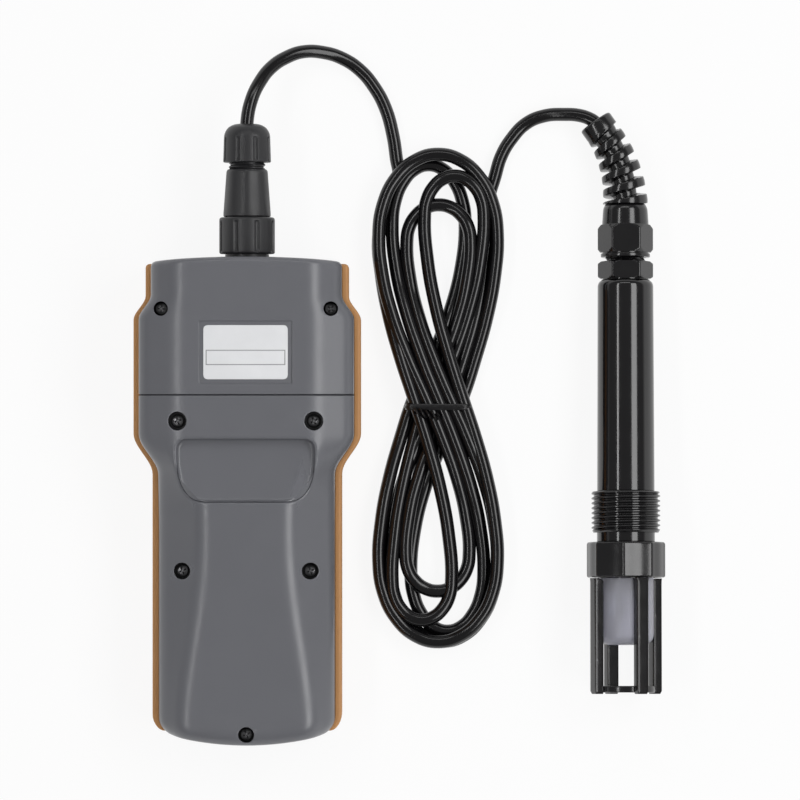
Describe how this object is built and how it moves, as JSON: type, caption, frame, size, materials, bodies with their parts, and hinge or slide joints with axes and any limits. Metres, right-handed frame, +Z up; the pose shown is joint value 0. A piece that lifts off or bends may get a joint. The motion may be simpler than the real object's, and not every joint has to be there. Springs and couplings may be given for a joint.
{
  "type": "ph and conductivity meter",
  "caption": "Handheld pH and conductivity meter lying face down, with a screw-on plug, a tied cord and a threaded probe with a caged sensor tip and cup.",
  "frame": {"origin": "on the table, under the middle of the meter and probe taken together, without the cord", "axes": "+Z up from the table, +Y from the grip towards the plug along the meter and the probe, +X from the meter to the probe"},
  "size_m": [0.185, 0.2431, 0.0426],
  "materials": {
    "front_case": "fine moulded texture, satin",
    "bumper": "soft-touch moulded rubber",
    "rear_case": "fine moulded texture, satin",
    "gasket": "smooth",
    "label": "coated label stock",
    "screw": "plated steel, cross recess",
    "holder": "moulded",
    "cell": "printed sleeve",
    "contact": "nickel-plated spring steel",
    "board": "solder mask",
    "display": "liquid crystal cell",
    "window": "clear hard-coated window",
    "keypad": "silicone",
    "key": "matte silicone",
    "black_part": "moulded",
    "connector": "matte moulded nylon",
    "brass": "gold-plated pins",
    "nickel": "nickel plate",
    "insert": "moulded",
    "cord": "glossy PVC jacket",
    "tie": "plastic-coated wire tie",
    "gland": "polished nylon",
    "probe": "polished ABS",
    "guard": "polished ABS",
    "cup": "translucent polyethylene",
    "bulb": "thin pH glass",
    "pin_metal": "stainless steel",
    "junction": "porous ceramic"
  },
  "bodies": {
    "meter": {"front_shell": "front_case", "side_bumpers": "bumper", "rear_shell": "rear_case", "case_gasket": "gasket", "id_label": "label", "case_screws": "screw", "battery_tray": "holder", "battery_cells": "cell", "battery_contacts": "contact", "main_board": "board", "display_panel": "display", "display_window": "window", "keypad_mat": "keypad", "buzzer": "black_part", "socket_body": "connector", "socket_nut": "nickel", "socket_pins": "brass", "socket_seal": "gasket", "plug_body": "connector", "plug_insert": "insert", "plug_seal": "gasket", "cord_grommet": "gasket", "cord_meter_lead": "cord", "cord_hank": "cord", "cord_probe_lead": "cord", "cord_tie": "tie", "strain_relief": "gland", "gland_seal": "gasket", "gland_body": "gland", "probe_tube": "probe", "threaded_sleeve": "probe", "sleeve_oring": "gasket", "sensor_carrier": "black_part", "ph_electrode": "bulb", "conductivity_pins": "pin_metal", "temperature_tip": "pin_metal", "reference_junction": "junction"},
    "key_1": {"key_1": "key"},
    "key_2": {"key_2": "key"},
    "key_3": {"key_3": "key"},
    "key_4": {"key_4": "key"},
    "key_5": {"key_5": "key"},
    "key_6": {"key_6": "key"},
    "coupling_ring": {"coupling_ring": "connector"},
    "cap_nut": {"cap_nut": "connector"},
    "battery_cover": {"battery_cover": "rear_case", "cover_screws": "screw", "cover_gasket": "gasket"},
    "probe_guard": {"probe_guard": "guard"},
    "storage_cup": {"storage_cup": "cup"}
  },
  "joints": [
    {"name": "key_1_press", "type": "slide", "parent": "meter", "child": "key_1", "axis": [0, 0, 1], "range_m": [0, 0.001], "stiffness_N_per_m": 800},
    {"name": "key_2_press", "type": "slide", "parent": "meter", "child": "key_2", "axis": [0, 0, 1], "range_m": [0, 0.001], "stiffness_N_per_m": 800},
    {"name": "key_3_press", "type": "slide", "parent": "meter", "child": "key_3", "axis": [0, 0, 1], "range_m": [0, 0.001], "stiffness_N_per_m": 800},
    {"name": "key_4_press", "type": "slide", "parent": "meter", "child": "key_4", "axis": [0, 0, 1], "range_m": [0, 0.001], "stiffness_N_per_m": 800},
    {"name": "key_5_press", "type": "slide", "parent": "meter", "child": "key_5", "axis": [0, 0, 1], "range_m": [0, 0.001], "stiffness_N_per_m": 800},
    {"name": "key_6_press", "type": "slide", "parent": "meter", "child": "key_6", "axis": [0, 0, 1], "range_m": [0, 0.001], "stiffness_N_per_m": 800},
    {"name": "coupling_ring_turn", "type": "hinge", "parent": "meter", "child": "coupling_ring", "pos_m": [-0.0531, 0.0656, 0.0215], "axis": [0, 1, 0], "continuous": true},
    {"name": "cap_nut_turn", "type": "hinge", "parent": "meter", "child": "cap_nut", "pos_m": [-0.0531, 0.0986, 0.0215], "axis": [0, 1, 0], "continuous": true},
    {"name": "battery_cover_lift", "type": "slide", "parent": "meter", "child": "battery_cover", "axis": [0, 0, 1], "range_m": [0, 0.04]},
    {"name": "guard_off", "type": "slide", "parent": "meter", "child": "probe_guard", "axis": [0, -0.9988, 0.0484], "range_m": [0, 0.08]},
    {"name": "cup_off", "type": "slide", "parent": "meter", "child": "storage_cup", "axis": [0, -0.9988, 0.0484], "range_m": [0, 0.04]}
  ],
  "couplings": [
    {"joint": "cup_off", "follows": "guard_off", "ratio": 0.5}
  ]
}
